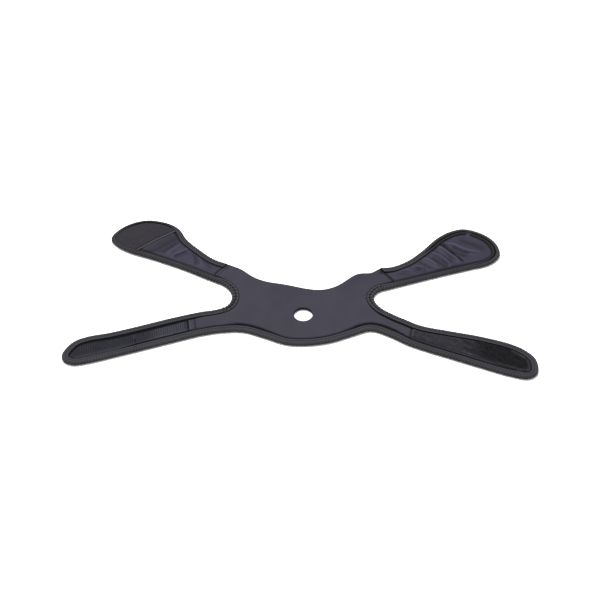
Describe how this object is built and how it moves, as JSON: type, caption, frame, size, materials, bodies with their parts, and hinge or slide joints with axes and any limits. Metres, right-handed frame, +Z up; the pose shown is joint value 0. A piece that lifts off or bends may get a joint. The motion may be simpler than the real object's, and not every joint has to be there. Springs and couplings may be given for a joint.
{
  "type": "neoprene strap wrap",
  "caption": "Flat X-shaped neoprene wrap: a centre panel with a round hole, broad rounded rear tabs, and long front straps with hook and loop tape.",
  "frame": {"origin": "under the middle of the wrap's plan box, on the surface that it lies on", "axes": "+X runs from the hook strap's side to the loop strap's side, +Y towards the rear arms, +Z up out of the face fabric"},
  "size_m": [0.6377, 0.285, 0.0063],
  "materials": {
    "neoprene_face": "matt knitted nylon bonded to the foam",
    "backing_jersey": "plain knitted jersey",
    "foam": "closed-cell foam, cut edge",
    "binding_tape": "folded woven tape, satin",
    "stretch_fabric": "smooth stretch knit with a slight sheen",
    "hook_tape": "woven tape with rows of fine hooks",
    "loop_tape": "dark brushed loop pile",
    "pile_patch": "short matt loop pile"
  },
  "bodies": {
    "centre_panel": {"centre_panel_backing": "backing_jersey", "centre_panel_foam_core": "foam", "centre_panel_face_fabric": "neoprene_face", "left_notch_binding": "binding_tape", "front_edge_binding": "binding_tape", "right_notch_binding": "binding_tape"},
    "rear_left_arm": {"rear_left_arm_backing": "backing_jersey", "rear_left_arm_foam_core": "foam", "rear_left_arm_stretch_cover": "stretch_fabric", "rear_left_arm_rear_binding": "binding_tape", "rear_left_arm_front_binding": "binding_tape"},
    "rear_left_tab": {"rear_left_tab_backing": "backing_jersey", "rear_left_tab_foam_core": "foam", "rear_left_tab_stretch_cover": "stretch_fabric", "rear_left_tab_binding": "binding_tape", "pile_patch": "pile_patch"},
    "front_left_strap": {"front_left_strap_backing": "backing_jersey", "front_left_strap_foam_core": "foam", "front_left_strap_face_fabric": "neoprene_face", "front_left_strap_rear_binding": "binding_tape", "front_left_strap_front_binding": "binding_tape", "hook_tape_inner": "hook_tape"},
    "front_left_tab": {"front_left_tab_backing": "backing_jersey", "front_left_tab_foam_core": "foam", "front_left_tab_face_fabric": "neoprene_face", "front_left_tab_binding": "binding_tape", "hook_tape_outer": "hook_tape"},
    "front_right_strap": {"front_right_strap_backing": "backing_jersey", "front_right_strap_foam_core": "foam", "front_right_strap_face_fabric": "neoprene_face", "front_right_strap_front_binding": "binding_tape", "front_right_strap_rear_binding": "binding_tape", "loop_tape_inner": "loop_tape"},
    "front_right_tab": {"front_right_tab_backing": "backing_jersey", "front_right_tab_foam_core": "foam", "front_right_tab_face_fabric": "neoprene_face", "front_right_tab_binding": "binding_tape", "loop_tape_outer": "loop_tape"},
    "rear_right_arm": {"rear_right_arm_backing": "backing_jersey", "rear_right_arm_foam_core": "foam", "rear_right_arm_stretch_cover": "stretch_fabric", "rear_right_arm_front_binding": "binding_tape", "rear_right_arm_rear_binding": "binding_tape"},
    "rear_right_tab": {"rear_right_tab_backing": "backing_jersey", "rear_right_tab_foam_core": "foam", "rear_right_tab_stretch_cover": "stretch_fabric", "rear_right_tab_binding": "binding_tape", "under_hook_patch": "hook_tape"}
  },
  "joints": [
    {"name": "rear_left_root_fold", "type": "hinge", "parent": "centre_panel", "child": "rear_left_arm", "pos_m": [-0.12128, 0.04054, 0.01], "axis": [0.5836, 0.812, 0], "range_deg": [0, 95]},
    {"name": "rear_left_mid_fold", "type": "hinge", "parent": "rear_left_arm", "child": "rear_left_tab", "pos_m": [-0.20778, 0.10054, 0.01], "axis": [0.774, 0.6332, 0], "range_deg": [0, 85]},
    {"name": "front_left_root_fold", "type": "hinge", "parent": "centre_panel", "child": "front_left_strap", "pos_m": [-0.14978, -0.06996, 0.01], "axis": [-0.1601, 0.9871, 0], "range_deg": [0, 95]},
    {"name": "front_left_mid_fold", "type": "hinge", "parent": "front_left_strap", "child": "front_left_tab", "pos_m": [-0.22378, -0.09446, 0.01], "axis": [-0.3162, 0.9487, 0], "range_deg": [0, 85]},
    {"name": "front_right_root_fold", "type": "hinge", "parent": "centre_panel", "child": "front_right_strap", "pos_m": [0.14972, -0.07246, 0.01], "axis": [-0.1376, -0.9905, 0], "range_deg": [0, 95]},
    {"name": "front_right_mid_fold", "type": "hinge", "parent": "front_right_strap", "child": "front_right_tab", "pos_m": [0.22722, -0.09246, 0.01], "axis": [-0.3048, -0.9524, 0], "range_deg": [0, 85]},
    {"name": "rear_right_root_fold", "type": "hinge", "parent": "centre_panel", "child": "rear_right_arm", "pos_m": [0.11422, 0.04454, 0.01], "axis": [0.6332, -0.774, 0], "range_deg": [0, 95]},
    {"name": "rear_right_mid_fold", "type": "hinge", "parent": "rear_right_arm", "child": "rear_right_tab", "pos_m": [0.20422, 0.09404, 0.01], "axis": [0.6748, -0.738, 0], "range_deg": [0, 85]}
  ]
}
